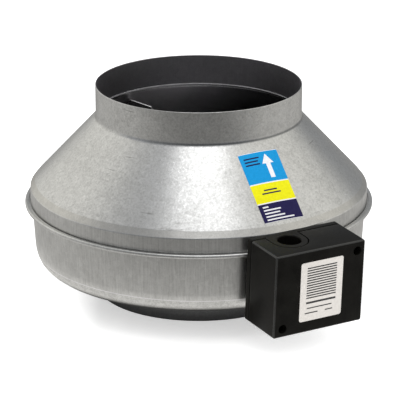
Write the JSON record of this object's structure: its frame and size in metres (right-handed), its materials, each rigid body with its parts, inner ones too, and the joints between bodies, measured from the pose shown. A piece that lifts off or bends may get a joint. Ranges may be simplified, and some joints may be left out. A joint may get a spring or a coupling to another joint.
{
  "type": "inline duct fan",
  "caption": "Round inline duct fan: straight spigots at both ends, a conical steel housing with a seam, a backward curved impeller inside and a terminal box on the drum.",
  "frame": {"origin": "on the duct axis, in the plane of the inlet collar's rim", "axes": "+Z along the duct axis in the direction of the air, from inlet to outlet; the terminal box faces -Y; +X is to the right of the box as it is read"},
  "size_m": [0.34, 0.3899, 0.2078],
  "materials": {
    "galvanised_steel": "galvanised sheet, satin with a fine vertical rolling grain and a faint spangle",
    "impeller_steel": "galvanised sheet, satin",
    "black_paint": "satin black paint on drawn steel",
    "cast_aluminium": "as cast, matt",
    "core_steel": "stacked laminations, dull",
    "copper": "enamelled copper wire",
    "bright_steel": "ground and polished steel",
    "zinc": "zinc plated",
    "black_plastic": "finely textured black moulding",
    "white_plastic": "satin off-white moulding",
    "grey_plastic": "satin grey moulding",
    "rubber": "matt black",
    "foam": "dark closed cell foam",
    "brass": "bright brass",
    "label_paper": null,
    "sticker_vinyl": null
  },
  "bodies": {
    "housing": {"outlet_shell": "galvanised_steel", "inlet_shell": "galvanised_steel", "inlet_nozzle": "galvanised_steel", "nozzle_rivet_1": "zinc", "nozzle_rivet_2": "zinc", "nozzle_rivet_3": "zinc", "support_arm_1": "galvanised_steel", "support_arm_2": "galvanised_steel", "support_arm_3": "galvanised_steel", "motor_plate": "galvanised_steel", "motor_screw_1": "zinc", "motor_screw_2": "zinc", "motor_screw_3": "zinc", "airflow_sticker": "sticker_vinyl", "stator_base": "cast_aluminium", "stator_core": "core_steel", "stator_winding": "copper", "lower_outer_race": "bright_steel", "upper_outer_race": "bright_steel", "wave_washer": "bright_steel", "box_base": "black_plastic", "box_pad": "foam", "box_screw_1": "zinc", "box_screw_2": "zinc", "cable_grommet": "rubber", "motor_lead": "rubber", "terminal_block": "white_plastic", "terminal_screw_1": "brass", "terminal_screw_2": "brass", "terminal_screw_3": "brass", "ground_screw": "brass", "capacitor": "grey_plastic", "capacitor_clip": "zinc"},
    "rotor": {"shaft": "bright_steel", "shaft_circlip": "bright_steel", "lower_inner_race": "bright_steel", "upper_inner_race": "bright_steel", "rotor_cup": "black_paint", "rotor_cage": "core_steel", "rotor_screw_1": "zinc", "rotor_screw_2": "zinc", "rotor_screw_3": "zinc", "impeller_hub": "impeller_steel", "impeller_shroud": "impeller_steel", "impeller_blade_1": "impeller_steel", "impeller_blade_2": "impeller_steel", "impeller_blade_3": "impeller_steel", "impeller_blade_4": "impeller_steel", "impeller_blade_5": "impeller_steel", "impeller_blade_6": "impeller_steel", "impeller_blade_7": "impeller_steel", "balance_clip": "zinc"},
    "lower_balls": {"lower_ball_cage": "bright_steel"},
    "upper_balls": {"upper_ball_cage": "bright_steel"},
    "terminal_cover": {"box_cover": "black_plastic", "cover_gasket": "rubber", "cover_screw_1": "zinc", "cover_screw_2": "zinc", "box_label": "label_paper"}
  },
  "joints": [
    {"name": "impeller_spin", "type": "hinge", "parent": "housing", "child": "rotor", "pos_m": [0, 0, 0], "axis": [0, 0, 1], "continuous": true},
    {"name": "lower_ball_spin", "type": "hinge", "parent": "housing", "child": "lower_balls", "pos_m": [0, 0, 0], "axis": [0, 0, 1], "continuous": true},
    {"name": "upper_ball_spin", "type": "hinge", "parent": "housing", "child": "upper_balls", "pos_m": [0, 0, 0], "axis": [0, 0, 1], "continuous": true},
    {"name": "cover_lift", "type": "slide", "parent": "housing", "child": "terminal_cover", "axis": [0, -0.9983, -0.0581], "range_m": [0, 0.07]}
  ],
  "couplings": [
    {"joint": "lower_ball_spin", "follows": "impeller_spin", "ratio": 0.388},
    {"joint": "upper_ball_spin", "follows": "impeller_spin", "ratio": 0.388}
  ]
}
